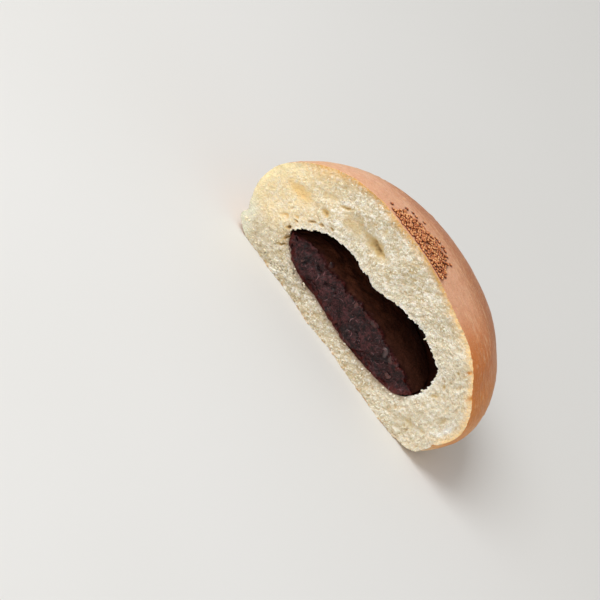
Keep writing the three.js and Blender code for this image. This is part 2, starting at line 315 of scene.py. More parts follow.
class Surface:
    """Collects grids of points, and the triangles between them with a material for each."""

    def __init__(self):
        self.points = np.zeros((0, 3))
        self.triangles = np.zeros((0, 3), int)
        self.materials = np.zeros(0, int)

    def add(self, points):
        """Adds points in an array of any shape, and returns their numbers in that shape."""
        points = np.asarray(points, float)
        first = len(self.points)
        self.points = np.concatenate([self.points, points.reshape(-1, 3)])
        return first + np.arange(points.size // 3).reshape(points.shape[:-1])

    def span(self, grid, material=0):
        """Joins each row of point numbers to the next with triangles."""
        a, b, c, d = grid[:-1, :-1], grid[:-1, 1:], grid[1:, 1:], grid[1:, :-1]
        corners = np.concatenate([np.stack([a, b, c], -1), np.stack([a, c, d], -1)])
        corners = corners.reshape(-1, 3)
        whole = (corners != np.roll(corners, 1, axis=1)).all(axis=1)
        self.triangles = np.concatenate([self.triangles, corners[whole]])
        self.materials = np.append(self.materials, np.full(whole.sum(), material))

    def touched_by(self, material):
        """Marks the points that triangles of one material use."""
        marks = np.zeros(len(self.points), bool)
        marks[self.triangles[self.materials == material]] = True
        return marks

    def normals(self):
        """The mean outward direction at each point."""
        a, b, c = (self.points[self.triangles[:, corner]] for corner in range(3))
        across = np.cross(b - a, c - a)
        total = np.zeros_like(self.points)
        for corner in range(3):
            np.add.at(total, self.triangles[:, corner], across)
        return total / np.maximum(np.linalg.norm(total, axis=1), 1e-12)[:, None]


def looped(rows):
    """Rows of point numbers, each closed into a loop."""
    grid = np.stack(rows)
    return np.concatenate([grid, grid[:, :1]], axis=1)


# --- Bread ---


def skin_points(profiles, azimuth, scale=1):
    """Points of the crust in rows up the side profiles, with their radii scaled."""
    right, back, left = (profile[:, None, :] for profile in profiles)
    side = np.where(azimuth[:, None] < math.pi / 2, right, left)
    place = between(back, side, np.cos(azimuth)[:, None] ** 2)
    radius, height = place[..., 0], place[..., 1]
    swell = 1 + np.sin(azimuth) * wave_sum(LOBES, azimuth, height)
    reach = radius * swell
    for depth, pinch_height, half_height, half_width in PINCHES:
        away = np.hypot(radius * azimuth / half_width, (height - pinch_height) / half_height)
        reach = reach - depth * np.exp(-(away**2))
    reach = scale * reach
    return np.stack([reach * np.cos(azimuth), reach * np.sin(azimuth), height], axis=-1)


def add_skin(surface):
    """Adds the crust and the flat base, and returns the outline of the cut face."""
    share = np.linspace(0, 1, SKIN_COLUMNS + 1)
    azimuth = math.pi * share - COLUMN_CROWDING * np.sin(2 * math.pi * share)
    profiles = [profile_steps(side, SIDE_ROWS) for side in (RIGHT_SIDE, BACK_SIDE, LEFT_SIDE)]
    skin = surface.add(skin_points(profiles, azimuth)[:-1])
    top = surface.add([0, 0, TOP_HEIGHT])
    skin = np.concatenate([skin, np.full((1, SKIN_COLUMNS + 1), top)])
    base_edge = [profile[:1] for profile in profiles]
    scales = np.arange(1, BASE_ROWS) / BASE_ROWS
    base = [surface.add(skin_points(base_edge, azimuth, scale)[0]) for scale in scales]
    middle = surface.add([0, 0, 0])
    base = np.stack([np.full(SKIN_COLUMNS + 1, middle), *base, skin[0]])
    surface.span(base, CRUST)
    surface.span(skin, CRUST)
    return np.concatenate([base[:-1, 0], skin[:, 0], skin[-2::-1, -1], base[-2:0:-1, -1]])


def section_points(places, turn, depth):
    """Carries places of the cut face back to a section of the pocket, or of the paste in it.

    The turn goes from 0 at the cut face to 1 at the back, where the sections shrink to a point.
    """
    angle = turn * math.pi / 2
    size = math.cos(angle) ** (2 / POCKET_BLUNTNESS)
    points = at_cut(between(POCKET_MIDDLE, places, size))
    points[..., 1] += depth * math.sin(angle) ** (2 / POCKET_BLUNTNESS)
    return points


def section_turns(rings):
    """Turns of the sections between the cut face and the back, closer together at the cut."""
    return (np.arange(1, rings) / rings) ** SECTION_CROWDING


def add_cut_face(surface, outline, rim_places):
    """Adds the crumb between the outline of the cut face and the rim of the pocket."""
    edge = surface.points[outline]
    shares = np.arange(1, CUT_RINGS + 1) / CUT_RINGS
    rings = [surface.add(between(edge, at_cut(rim_places), share)) for share in shares]
    surface.span(looped([outline, *rings]), CRUMB)
    return rings[-1]


def add_pocket(surface, rim, rim_places):
    """Adds the walls of the pocket, from its rim to its back."""
    turns = section_turns(POCKET_RINGS)
    rings = [surface.add(section_points(rim_places, turn, POCKET_DEPTH)) for turn in turns]
    back = surface.add(section_points(POCKET_MIDDLE, 1, POCKET_DEPTH))
    surface.span(looped([rim, *rings, np.full(len(rim), back)]), POCKET)


def oval(points, middle_x, middle_z, half_length, half_width, tilt):
    """How far inside a soft-edged oval of the cut plane each point is, from 0 to 1."""
    x, z = points[:, 0] - middle_x, points[:, 2] - middle_z
    tilt = math.radians(tilt)
    along = x * math.cos(tilt) + z * math.sin(tilt)
    across = z * math.cos(tilt) - x * math.sin(tilt)
    return np.exp(-(np.hypot(along / half_length, across / half_width) ** 2.5))


def in_ovals(points, ovals):
    """How far inside the nearest of some ovals each point is, from 0 to 1."""
    return np.max([oval(points, *numbers) for numbers in ovals], axis=0)


def crumb_relief(points):
    """Depth of the torn crumb behind the cut plane, with masks of its pits and hollows for painted
    shade and tan.
    """
    moved = [noise(points, 1.3, 31), 0 * points[:, 0], noise(points, 1.3, 32)]
    warped = points + 0.5 * np.stack(moved, axis=-1)
    ovals = [oval(warped, *hollow[:5]) for hollow in HOLLOWS]
    hollow_depth = sum(share * hollow[5] for share, hollow in zip(ovals, HOLLOWS))
    tint_and_shade = np.max([share * hollow[6] for share, hollow in zip(ovals, HOLLOWS)], axis=0)
    flat = warped[:, [0, 2]]
    large = pits(flat, 3.6, 0.8, 11)
    medium = pits(flat, 1.7, 0.5, 12)
    small = pits(flat, 0.9, 0.34, 13)
    clumps, fluff = tufts(flat, 1.7, 23), tufts(flat, 0.8, 24)
    wool = (1 - 0.45 * ease(-points[:, 0], 24, 42)) * (1 - 0.5 * tint_and_shade)
    swells = 0.25 * rough_noise(flat, 4.5, 21) - 0.45 * clumps - 0.3 * fluff
    torn = wool * (swells + 0.3 * large + 0.26 * medium + 0.2 * small)
    crease = 0.6 * ease(0.16 - np.minimum(clumps, fluff), 0, 0.16)
    pit_shade = wool * np.max([large, 0.8 * medium, 0.7 * small, crease], axis=0)
    return wave_sum(TEAR_WAVES, points[:, 0], points[:, 2]) + hollow_depth + torn, pit_shade, tint_and_shade


def tear_rim(points, near_rim):
    """Moves the points near the rim of the pocket within the cut plane, as torn crumb."""
    flat = points[:, [0, 2]]
    outward = flat - POCKET_MIDDLE
    outward /= np.maximum(np.linalg.norm(outward, axis=1), 1)[:, None]
    roof = ease(flat[:, 1], 11, 17)
    ragged = rough_noise(flat, 2.4, 41) + 0.6 * noise(flat, 0.7, 42)
    shift = near_rim * (0.12 + 0.7 * roof) * ragged
    points[:, [0, 2]] += shift[:, None] * outward


def crust_relief(points):
    """How far blisters and slow swells stand out of the crust, with how much blister there is."""
    crowd = ease(noise(points, 11, 65), -0.7, 0.3)
    large = crowd * pits(points, 4.2, 0.8, 63)
    small = crowd * pits(points, 1.5, 0.36, 64)
    swells = 0.14 * rough_noise(points, 7, 61) + 0.03 * noise(points, 1.5, 62)
    return swells + 0.18 * large + 0.08 * small, np.maximum(large, 0.8 * small)


def golden_share(points):
    """How strongly the crust tints the edge of the crumb. Both feet and the left end stay pale."""
    right = ease(points[:, 2], 8, 13)
    left = ease(points[:, 2], 25, 35)
    return np.where(points[:, 0] > 0, right, left)


def over_paste(points):
    """Tells the rim over the hollow, as 1, from the rim that the paste touches, as 0."""
    return np.maximum(ease(points[:, 2], 13, 16), ease(points[:, 0], 28.5, 30.5))


def tear_crumb(surface, near_rim, from_crust):
    """Tears the cut face and its edges, and returns masks of its pits and hollows, for painted
    shade and the hollows' tan.
    """
    points = surface.points
    smooth = points.copy()
    in_cut, in_pocket = surface.touched_by(CRUMB), surface.touched_by(POCKET)
    tear_rim(points, near_rim * (in_cut | in_pocket))
    depth, pit_shade, tint_and_shade = crumb_relief(points)
    reach = np.where(in_pocket & ~in_cut, 3, 1.6)
    share = between(0.35, 1, ease(from_crust, 0, 1.5)) * np.exp(-smooth[:, 1] / reach)
    points[:, 1] += depth * share
    notches = 0.5 * rough_noise(smooth, 2.6, 43) - 0.45 * tufts(smooth, 0.9, 44)
    points[:, 1] += notches * np.exp(-from_crust / 0.8) * ease(smooth[:, 2], 0.3, 1.5)
    return pit_shade, tint_and_shade


def wall_relief(surface, smooth, near_rim):
    """How far the crust and the pocket's walls stand out, with how much blister there is."""
    in_cut = surface.touched_by(CRUMB)
    in_pocket = surface.touched_by(POCKET) & ~in_cut
    on_skin = ~in_cut & ~in_pocket
    relief = np.zeros(len(smooth))
    blister = np.zeros(len(smooth))
    relief[on_skin], blister[on_skin] = crust_relief(smooth[on_skin])
    relief *= ease(smooth[:, 2], 0.5, 3)
    walls = smooth[in_pocket]
    bumps = 0.5 * rough_noise(walls, 4, 51) + 0.2 * noise(walls, 1.1, 52)
    relief[in_pocket] = bumps * (1 - near_rim[in_pocket])
    return relief, blister


def make_bread_surface():
    """The outer surface of the bread, and facts about its points for the materials."""
    surface = Surface()
    outline = add_skin(surface)
    rim_places = even_steps(POCKET_OUTLINE, len(outline), closed=True)
    rim = add_cut_face(surface, outline, rim_places)
    add_pocket(surface, rim, rim_places)
    smooth = surface.points.copy()
    normals = surface.normals()
    crust_edge = outline[smooth[outline][:, 2] > 1]
    from_crust = distance_to(smooth[crust_edge], smooth)
    from_rim = distance_to(smooth[rim], smooth)
    near_rim = np.exp(-from_rim / 1.4)
    pit_shade, tint_and_shade = tear_crumb(surface, near_rim, from_crust)
    relief, blister = wall_relief(surface, smooth, near_rim)
    surface.points += normals * relief[:, None]
    points = surface.points
    # Painted highlight: a pale rim where light catches the lip of crumb over the hollow.
    painted_lit_rim = 0.9 * np.exp(-from_rim / 0.9) * over_paste(smooth)
    facts = {
        "from_crust": from_crust,
        "from_rim": from_rim,
        "golden": golden_share(smooth),
        "spot": in_ovals(points, CRUST_SPOTS),
        "pit_shade": pit_shade,
        "tint_and_shade": tint_and_shade,
        "white": np.maximum(in_ovals(points, WHITE_TUFTS), painted_lit_rim),
        # Partly a real paste stain and partly painted shade, on the crumb along the rim that the
        # paste touches.
        "stain_and_shade": np.exp(-from_rim / 0.9) * (1 - over_paste(smooth)),
        "blister": blister,
    }
    return surface, facts


# --- Bean paste ---


def paste_relief(points):
    """How far mashed lumps and grains stand out of the smooth shape of the paste."""
    warped = points + 0.8 * warp(points, 2.2, 71)
    lumps = 0.85 * rough_noise(warped, 3.6, 74) + 0.34 * noise(warped, 1.4, 75)
    grains = 0.2 * noise(warped, 0.6, 76)
    return lumps + grains - 0.8 * pits(warped, 3, 0.6, 77) - 0.35 * pits(warped, 1.5, 0.36, 78)


def raise_paste(surface, floor, top):
    """Raises lumps on the smooth paste, and returns facts about its points."""
    smooth = surface.points
    inside = ease(smooth[:, 1], 0.4, 3)
    normals = surface.normals()
    exposed = between(PASTE_BURIED_RELIEF, 1, ease(normals[:, 2], -0.9, 0))
    relief = paste_relief(smooth) * exposed * between(1, PASTE_INSIDE_RELIEF, inside)
    waves = wave_sum(PASTE_LUMPS, smooth[:, 0], smooth[:, 2])
    on_face = ease(-normals[:, 1], 0.5, 1)
    surface.points = smooth + normals * relief[:, None]
    surface.points[:, 1] += (waves + PASTE_SETBACK) * on_face
    from_floor = distance_to(smooth[floor], smooth)
    from_top = distance_to(smooth[top], smooth)
    edge = np.maximum(np.exp(-from_floor / 1.1), 0.5 * np.exp(-from_top / 0.9))
    edge = np.maximum(edge, 0.6 * ease(-smooth[:, 0], 26, 30))
    return {"edge": edge, "inside": inside}


def make_paste_surface():
    """The surface of the paste, and facts about its points for the material."""
    low = [(x, z - PASTE_SINK) for x, z in POCKET_OUTLINE if z < PASTE_RIGHT_TIP[1] - 1]
    floor = even_steps([PASTE_LEFT_TIP, *sorted(low), PASTE_RIGHT_TIP], PASTE_STEPS)
    calm_top = even_steps([PASTE_LEFT_TIP, *PASTE_TOP, PASTE_RIGHT_TIP], PASTE_STEPS)
    along = calm_top[:, :1]
    ragged = 1.2 * rough_noise(along, 3, 79) + 0.25 * noise(along, 0.6, 80)
    top = calm_top.copy()
    top[:, 1] += ragged * ease(28 - np.abs(along[:, 0]), 0, 5)
    shares = np.linspace(0, 1, PASTE_ROWS + 1)[:, None, None]
    surface = Surface()
    face = surface.add(at_cut(between(floor, top, shares)))
    face[:, 0] = face[0, 0]
    face[:, -1] = face[0, -1]
    surface.span(face)
    outline = np.concatenate([face[0], face[-1, -2:0:-1]])
    places = surface.points[outline][:, [0, 2]]
    calm_places = np.concatenate([floor, calm_top[-2:0:-1]])
    rings = []
    for turn in section_turns(PASTE_RINGS):
        section = between(places, calm_places, ease(turn, 0, PASTE_CALM_TURN))
        rings.append(surface.add(section_points(section, turn, PASTE_DEPTH)))
    back = surface.add(section_points(POCKET_MIDDLE, 1, PASTE_DEPTH))
    surface.span(looped([np.full(len(outline), back), *rings[::-1], outline]))
    return surface, raise_paste(surface, face[0], face[-1])


# --- Small scattered things ---


def make_pod(length, width, thickness, bend, rings, sides):
    """A closed round-ended body along X, bent in Y."""
    surface = Surface()
    along = -np.cos(np.linspace(0, math.pi, rings + 2))
    turn = np.linspace(0, 2 * math.pi, sides, endpoint=False)
    radius = np.sqrt(1 - along[:, None] ** 2)
    x = along[:, None] * length / 2 + 0 * turn
    y = radius * np.cos(turn) * width / 2 + bend * along[:, None] ** 2
    z = radius * np.sin(turn) * thickness / 2
    body = surface.add(np.stack([x, y, z], axis=-1))
    body[0] = body[0, 0]
    body[-1] = body[-1, 0]
    surface.span(looped(body))
    return surface


def scatter(shape, places):
    """Joins copies of a shape, and returns them with the points of one.

    A place is a point, an outward direction, a spin, and a size.
    """
    used, numbers = np.unique(shape.triangles, return_inverse=True)
    numbers = numbers.reshape(-1, 3)
    body = shape.points[used]
    points = []
    for position, outward, spin, size in places:
        upright = Vector(outward).to_track_quat("Z", "Y").to_matrix()
        turned = np.array(upright @ Matrix.Rotation(spin, 3, "Z"))
        points.append(size * body @ turned.T + np.array(position))
    joined = Surface()
    joined.points = np.concatenate(points)
    joined.triangles = np.concatenate([numbers + i * len(body) for i in range(len(places))])
    return joined, body


def tree_of(surface):
    return BVHTree.FromPolygons(surface.points.tolist(), surface.triangles.tolist())


def meet(tree, x, z):
    """Where a line square to the cut face meets a surface: point, direction and triangle."""
    return tree.ray_cast(Vector((x, IN_FRONT, z)), Vector((0, 1, 0)))[:3]


def seed_spots(random):
    """A shaken honeycomb in the patch, strays, and spots on top of others, as (x, y, rise)."""
    spots = []
    row_pitch = SEED_PITCH * math.sqrt(3) / 2
    reach = PATCH_RADIUS + SEED_PITCH
    for row, y in enumerate(np.arange(0, reach, row_pitch)):
        offset = SEED_PITCH / 2 * (row % 2)
        for x in np.arange(-reach, reach, SEED_PITCH) + offset:
            spots.append((x, y, 0))
    spots = np.array(spots)
    spots[:, :2] += random.uniform(-SEED_SHAKE, SEED_SHAKE, (len(spots), 2))
    radius = np.hypot(spots[:, 0], spots[:, 1])
    limit = PATCH_RADIUS * (1 + PATCH_UNEVENNESS * noise(spots[:, :2], 4, 81))
    kept = spots[(radius < limit) & (random.random(len(spots)) < SEEDS_KEPT)]
    turn = random.uniform(0, math.pi, STRAY_SEEDS)
    out = PATCH_RADIUS + random.uniform(*STRAY_DISTANCES, STRAY_SEEDS)
    strays = np.stack([out * np.cos(turn), out * np.sin(turn), 0 * turn], axis=1)
    upper = kept[random.choice(len(kept), UPPER_SEEDS, replace=False)] + UPPER_STEP
    return np.concatenate([kept, strays, upper])


def seed_places(bread, random):
    """Places for the seeds, lying on the crust."""
    tree = tree_of(bread)
    places = []
    for x, y, rise in seed_spots(random):
        if y < random.uniform(0, SEED_EDGE_GAP):
            continue
        above = Vector((x + PATCH_X, y, 2 * TOP_HEIGHT))
        point, outward, _, _ = tree.ray_cast(above, Vector((0, 0, -1)))
        centre = point + outward * (SEED_RISE + rise)
        spin = random.uniform(0, 2 * math.pi)
        places.append((centre, outward, spin, random.uniform(*SEED_SIZES)))
    return places


def paste_places(paste, random, spots, lean):
    """Places on the cut face of the paste, with a random spin, lean and size."""
    tree = tree_of(paste)
    places = []
    for x, z in spots:
        point, outward, _ = meet(tree, x, z)
        if point is None or point.y > 3:
            continue
        leaned = (outward + lean * Vector(random.uniform(-1, 1, 3))).normalized()
        spin = random.uniform(0, 2 * math.pi)
        places.append((point, leaned, spin, random.uniform(*BEAN_SIZES)))
    return places


def crumb_places(bread, random, count):
    """Places for loose tufts on the cut face, closer together near the roof of the hollow."""
    tree = tree_of(bread)
    places = []
    while len(places) < count:
        x, z = random.uniform(*CUT_CORNERS)
        from_rim = np.linalg.norm(RIM_LINE - (x, z), axis=1).min()
        crowd = 0.16 + 0.84 * math.exp(-from_rim / 2) * (z > 12)
        if random.random() > crowd * between(1, 0.5, ease(abs(x), 26, 36)):
            continue
        if in_ovals(np.array([[x, 0, z]]), [hollow[:5] for hollow in HOLLOWS]) > 0.2:
            continue
        point, outward, triangle = meet(tree, x, z)
        if point is None or point.y > 2 or outward.y > -0.5:
            continue
        if bread_facts["from_crust"][bread.triangles[triangle, 0]] < TUFT_EDGE_GAP:
            continue
        spin = random.uniform(0, 2 * math.pi)
        places.append((point, outward, spin, random.uniform(*TUFT_SIZES)))
    return places


# --- Pieces ---


def add_object(name, data):
    thing = bpy.data.objects.new(name, data)
    bpy.context.scene.collection.objects.link(thing)
    return thing


def add_piece(name, surface, materials, node, slot, **facts):
    """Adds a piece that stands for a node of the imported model, and returns its mesh.

    A fact is a number for each point, which the materials read.
    """
    mesh = bpy.data.meshes.new(name)
    mesh.from_pydata((surface.points + SHIFT) * MM, [], surface.triangles.tolist())
    mesh.shade_smooth()
    for fact, values in facts.items():
        mesh.attributes.new(fact, "FLOAT", "POINT").data.foreach_set("value", values)
    for material in materials:
        mesh.materials.append(material)
    piece = add_object(name, mesh)
    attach(piece, "root")
    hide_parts(node)
    return mesh


# --- Materials ---


def srgb(red, green, blue):
    """A colour, given as it looks from 0 to 255, in Blender's linear numbers."""
    shares = np.array([red, green, blue]) / 255
    linear = np.where(shares < 0.04045, shares / 12.92, ((shares + 0.055) / 1.055) ** 2.4)
    return (*linear.tolist(), 1)


class Material:
    """A Principled material whose nodes are added by short calls. Sizes are in millimetres."""

    def __init__(self, name, **sockets):
        self.data = bpy.data.materials.new(name)
        self.data.use_nodes = True
        self.tree = self.data.node_tree
        self.shader = self.tree.nodes["Principled BSDF"]
        for socket, value in sockets.items():
            self.put(self.shader.inputs[socket.replace("_", " ")], value)
        self.place = self.add("TexCoord").outputs["Object"]

    def put(self, socket, value):
        """Links or sets a socket. A colour is given as it looks, from 0 to 255."""
        if isinstance(value, bpy.types.NodeSocket):
            self.tree.links.new(value, socket)
        else:
            socket.default_value = srgb(*value) if socket.type == "RGBA" else value

    def add(self, kind, inputs=(), **settings):
        node = self.tree.nodes.new("ShaderNode" + kind)
        for setting, value in settings.items():
            setattr(node, setting, value)
        for socket, value in dict(inputs).items():
            self.put(node.inputs[socket], value)
        return node

    def fact(self, name):
        return self.add("Attribute", attribute_name=name).outputs["Fac"]

    def noise(self, size, detail=3, place=None):
        inputs = {"Vector": place or self.place, "Scale": 1 / (size * MM), "Detail": detail}
        return self.add("TexNoise", inputs).outputs["Fac"]

    def cells(self, size):
        inputs = {"Vector": self.place, "Scale": 1 / (size * MM)}
        return self.add("TexVoronoi", inputs).outputs["Distance"]

    def along(self, axis):
        """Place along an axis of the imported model, in millimetres."""
        split = self.add("SeparateXYZ", {"Vector": self.place})
        return self.times(split.outputs[axis], 1 / MM)

    def from_axis(self):
        """Distance from the bun's upright axis, in millimetres."""
        flat = self.add("VectorMath", {0: self.place, 1: (1, 1, 0)}, operation="MULTIPLY")
        axis = (*(SHIFT[:2] * MM), 0)
        away = self.add("VectorMath", {0: flat.outputs[0], 1: axis}, operation="DISTANCE")
        return self.times(away.outputs["Value"], 1 / MM)

    def streaks(self, size, stretch):
        """Noise drawn out along the cut face and up it."""
        scales = (1 / stretch, 1, 1 / stretch)
        drawn = self.add("VectorMath", {0: self.place, 1: scales}, operation="MULTIPLY")
        return self.noise(size, place=drawn.outputs[0])

    def maths(self, operation, first, second):
        return self.add("Math", {0: first, 1: second}, operation=operation).outputs[0]

    def times(self, product, *factors):
        for factor in factors:
            product = self.maths("MULTIPLY", product, factor)
        return product

    def ease(self, value, low, high, to_low=0, to_high=1):
        """Goes smoothly from to_low to to_high as the value goes from low to high."""
        inputs = {"Value": value, "From Min": low, "From Max": high}
        inputs |= {"To Min": to_low, "To Max": to_high}
        return self.add("MapRange", inputs, interpolation_type="SMOOTHSTEP").outputs["Result"]

    def patches(self, size, low, high, most, detail=3):
        """Patches of noise, which rise from 0 to the most as the noise goes from low to high."""
        return self.ease(self.noise(size, detail), low, high, 0, most)

    def vary(self, size, low, high):
        """Noise that mostly runs from low to high."""
        return self.ease(self.noise(size), 0.3, 0.7, low, high)

    def mix(self, share, first, second):
        """Goes from the first colour to the second."""
        return self.add("Mix", {0: share, 6: first, 7: second}, data_type="RGBA").outputs[2]

    def paint(self, colour, *layers):
        """Lays colours over a colour, each by its own share."""
        for share, over in layers:
            colour = self.mix(share, colour, over)
        return colour

    def ramp(self, value, *stops):
        """Goes from colour to colour. Each comes with its place, in rising order."""
        node = self.add("ValToRGB", {"Fac": value})
        elements = node.color_ramp.elements
        for element, (place, colour) in zip(elements, stops):
            element.position, element.color = place, srgb(*colour)
        for place, colour in stops[2:]:
            elements.new(place).color = srgb(*colour)
        return node.outputs["Color"]

    def bump(self, height, depth, below=None):
        """Adds fine relief of a depth to the normals, over the relief below it."""
        inputs = {"Height": height, "Distance": depth * MM}
        if below:
            inputs["Normal"] = below
        return self.add("Bump", inputs).outputs["Normal"]

    def finish(self, colour, roughness=None, normal=None):
        self.put(self.shader.inputs["Base Color"], colour)
        if roughness:
            self.put(self.shader.inputs["Roughness"], roughness)
        if normal:
            self.put(self.shader.inputs["Normal"], normal)
        return self.data


def baked_colour(mat, side):
    """Pinkish tan on top, orange brown at the side, browner further back, and pale at the foot."""
    height, along, back = mat.along("Z"), mat.along("X"), mat.along("Y")
    level = mat.maths("ADD", height, mat.vary(9, -3, 3))
    colour = mat.ramp(
        mat.ease(level, 0, 44),
        (0.0, (255, 226, 180)),
        (0.12, (248, 202, 146)),
        (0.3, (226, 158, 94)),
        (0.6, (210, 136, 76)),
        (1.0, (214, 150, 110)),
    )
    pale = mat.ease(along, -18, -38, 0, 0.5)
    deep = mat.mix(mat.ease(height, 18, 34), (236, 154, 76), (216, 122, 46))
    radius = mat.maths("ADD", mat.from_axis(), mat.vary(8, -4, 4))
    ring = mat.times(
        mat.ease(radius, 8, 25),
        mat.ease(radius, 46, 28),
        mat.ease(back, -13, -1, 0.05, 0.8),
        mat.ease(mat.streaks(1.2, 3), 0.34, 0.66, 0.75, 1),
    )
    return mat.paint(
        colour,
        (pale, (250, 204, 156)),
        (mat.times(side, mat.ease(height, 3, 13)), deep),
        (ring, (166, 92, 42)),
    )


def wrinkle(mat, colour):
    """Pale and dark lines along the cut, and a pinkish band on top beside it, partly the crust's
    own tone and partly a painted sheen.
    """
    height, along, back = mat.along("Z"), mat.along("X"), mat.along("Y")
    wrinkled = mat.times(mat.ease(back, 2, -8), mat.ease(back, -21, -15), mat.ease(height, 14, 30))
    pale_lines = mat.ease(mat.streaks(0.9, 5), 0.51, 0.65, 0, 0.4)
    dark_lines = mat.ease(mat.streaks(0.8, 5), 0.47, 0.36, 0, 0.25)
    # Partly painted sheen: the pale pinkish top of the crust near the cut.
    pale_top_and_sheen = mat.times(
        mat.ease(back, -2, -16, 0, 0.5),
        mat.ease(height, 30, 40),
        mat.ease(along, 34, 16),
    )
    return mat.paint(
        colour,
        (mat.times(pale_lines, wrinkled), (246, 206, 164)),
        (mat.times(dark_lines, wrinkled), (162, 92, 44)),
        (pale_top_and_sheen, (240, 188, 158)),
    )


def crust_material():
    """Baked crust with fine wrinkles, pale specks and blisters, and shade between the seeds."""
    shine = {"Specular_IOR_Level": 0.18, "Coat_Weight": 0.04, "Coat_Roughness": 0.35}
    mat = Material("crust", Subsurface_Weight=0.08, Subsurface_Scale=0.8 * MM, **shine)
    side = mat.ease(mat.along("X"), 10, 38, 0, 0.86)
    side = mat.times(side, mat.ease(mat.along("Y"), 10, -14))
    mottle = mat.patches(2.4, 0.35, 0.65, 0.18, 5)
    dark_grain = mat.patches(0.42, 0.5, 0.3, 0.35, 2)
    most_grain = mat.ease(side, 0, 0.7, 0.42, 0.2)
    colour = mat.paint(
        wrinkle(mat, baked_colour(mat, side)),
        (mottle, (184, 102, 48)),
        (dark_grain, (168, 96, 54)),
        (mat.patches(0.6, 0.52, 0.68, most_grain), (244, 202, 158)),
        (mat.times(mat.fact("blister"), 0.6), (240, 192, 142)),
        (mat.times(mat.fact("shade"), 0.92), (104, 46, 20)),
    )
    normal = mat.bump(mat.noise(2.6, 4), 0.16)
    normal = mat.bump(mat.streaks(0.9, 7), 0.18, normal)
    normal = mat.bump(mat.noise(0.5, 2), 0.05, normal)
    return mat.finish(colour, mat.vary(1.2, 0.38, 0.52), normal)


def torn_grain(mat, colour):
    """White clumps and speckle, partly the crumb's own uneven white and partly painted highlight
    on its tufts, and painted shade in the gaps, pores and pits between them, weaker in hollows and
    at the ends.
    """
    along = mat.along("X")
    fluff = mat.times(
        mat.ease(mat.fact("tint_and_shade"), 0.1, 0.5, 1, 0.3),
        mat.ease(along, -22, -38, 1, 0.45),
        mat.ease(along, 12, 30, 1, 0.65),
    )
    clumps = mat.patches(1.8, 0.5, 0.62, 0.75)
    speckle_and_highlight = mat.patches(0.6, 0.46, 0.66, 0.5)
    # Painted shade in the gaps between tufts and in the pores.
    gap_shade = mat.patches(0.7, 0.46, 0.34, 0.3)
    pore_shade = mat.ease(mat.cells(1.25), 0.09, 0.2, 0.6, 0)
    return mat.paint(
        colour,
        (mat.times(clumps, fluff), (252, 247, 234)),
        (mat.times(speckle_and_highlight, fluff), (255, 252, 242)),
        (mat.times(gap_shade, fluff), (180, 160, 120)),
        (mat.times(pore_shade, fluff), (146, 122, 82)),
        # Painted shade in the pits and creases of the torn crumb.
        (mat.times(mat.fact("pit_shade"), 0.5), (208, 174, 122)),
    )


def hollow_tint_and_shade(mat, colour, left):
    """The crumb in the hollows: tan to dark brown, partly its own tan and partly painted shade,
    and yellow at the left end.
    """
    tint_and_shade = mat.times(mat.fact("tint_and_shade"), mat.vary(1, 0.82, 1.1))
    # Painted shade: the higher the hollow's mask, the darker the brown.
    warm = mat.ramp(
        tint_and_shade,
        (0.15, (226, 206, 162)),
        (0.5, (208, 178, 124)),
        (0.82, (152, 122, 74)),
        (1.0, (66, 42, 24)),
    )
    yellow = mat.times(left, mat.ease(tint_and_shade, 0.72, 0.52))
    warm = mat.mix(yellow, warm, (250, 212, 146))
    return mat.mix(mat.ease(tint_and_shade, 0.03, 0.45, 0, 0.92), colour, warm)


def crust_tint(mat, colour, left):
    """Golden crumb under the crust, and a pale rind at the foot of the left end."""
    height, along = mat.along("Z"), mat.along("X")
    under_crust = mat.maths("ADD", mat.fact("from_crust"), mat.vary(0.9, -0.45, 0.45))
    grainy = mat.ease(mat.noise(0.7), 0.35, 0.6, 0.5, 1)
    near = mat.ease(under_crust, 0.2, 2.1, grainy, 0)
    reach = mat.ease(along, -20, -36, 3.4, 5.5)
    wide = mat.ease(under_crust, 0.4, reach, 0.5, 0)
    golden = mat.times(mat.maths("MAXIMUM", near, wide), mat.fact("golden"))
    gold = mat.mix(mat.ease(along, 8, 30), (222, 170, 98), (255, 216, 156))
    near_foot = mat.ease(mat.fact("golden"), 0, 0.5, 1, 0)
    rind = mat.times(mat.ease(under_crust, 0.2, 5, 0.85, 0), left, near_foot)
    cream = mat.mix(mat.ease(height, 6, 14), (238, 237, 214), (255, 236, 186))
    return mat.paint(
        colour,
        (golden, gold),
        (rind, cream),
        (mat.fact("spot"), (216, 142, 62)),
    )


def crumb_colour(mat):
    """Cream crumb: painted shade in its pits and hollows, golden under the crust, a painted
    highlight on the rim over the hollow, a paste stain with painted shade along the rim below, and
    the left end lighter and warmer, partly its own tone and partly painted light.
    """
    height, along = mat.along("Z"), mat.along("X")
    # The left end is lighter and warmer: partly its own tone, partly painted light.
    left = mat.ease(along, -16, -42, 0, 0.85)
    colour = mat.paint(
        mat.ramp(mat.noise(5, 5), (0.32, (201, 184, 147)), (0.68, (232, 223, 200))),
        (mat.ease(along, 16, 36, 0, 0.35), (250, 240, 216)),
        (mat.times(left, mat.ease(height, 6, 13)), (253, 229, 180)),
    )
    colour = torn_grain(mat, colour)
    colour = hollow_tint_and_shade(mat, colour, left)
    colour = crust_tint(mat, colour, left)
    dots = mat.ease(mat.noise(1.1, 2), 0.5, 0.6)
    return mat.paint(
        colour,
        (mat.times(mat.ease(height, 0.15, 0.7, 0.7, 0), dots), (188, 136, 78)),
        # A paste stain with painted shade, along the rim under the paste.
        (mat.times(mat.fact("stain_and_shade"), 0.8), (124, 92, 72)),
        # White tufts, and the painted highlight on the rim over the hollow.
        (mat.times(mat.fact("white"), 0.9), (253, 250, 242)),
    )


DRY = {"Roughness": 0.85, "Specular_IOR_Level": 0.2, "Subsurface_Weight": 0.06}


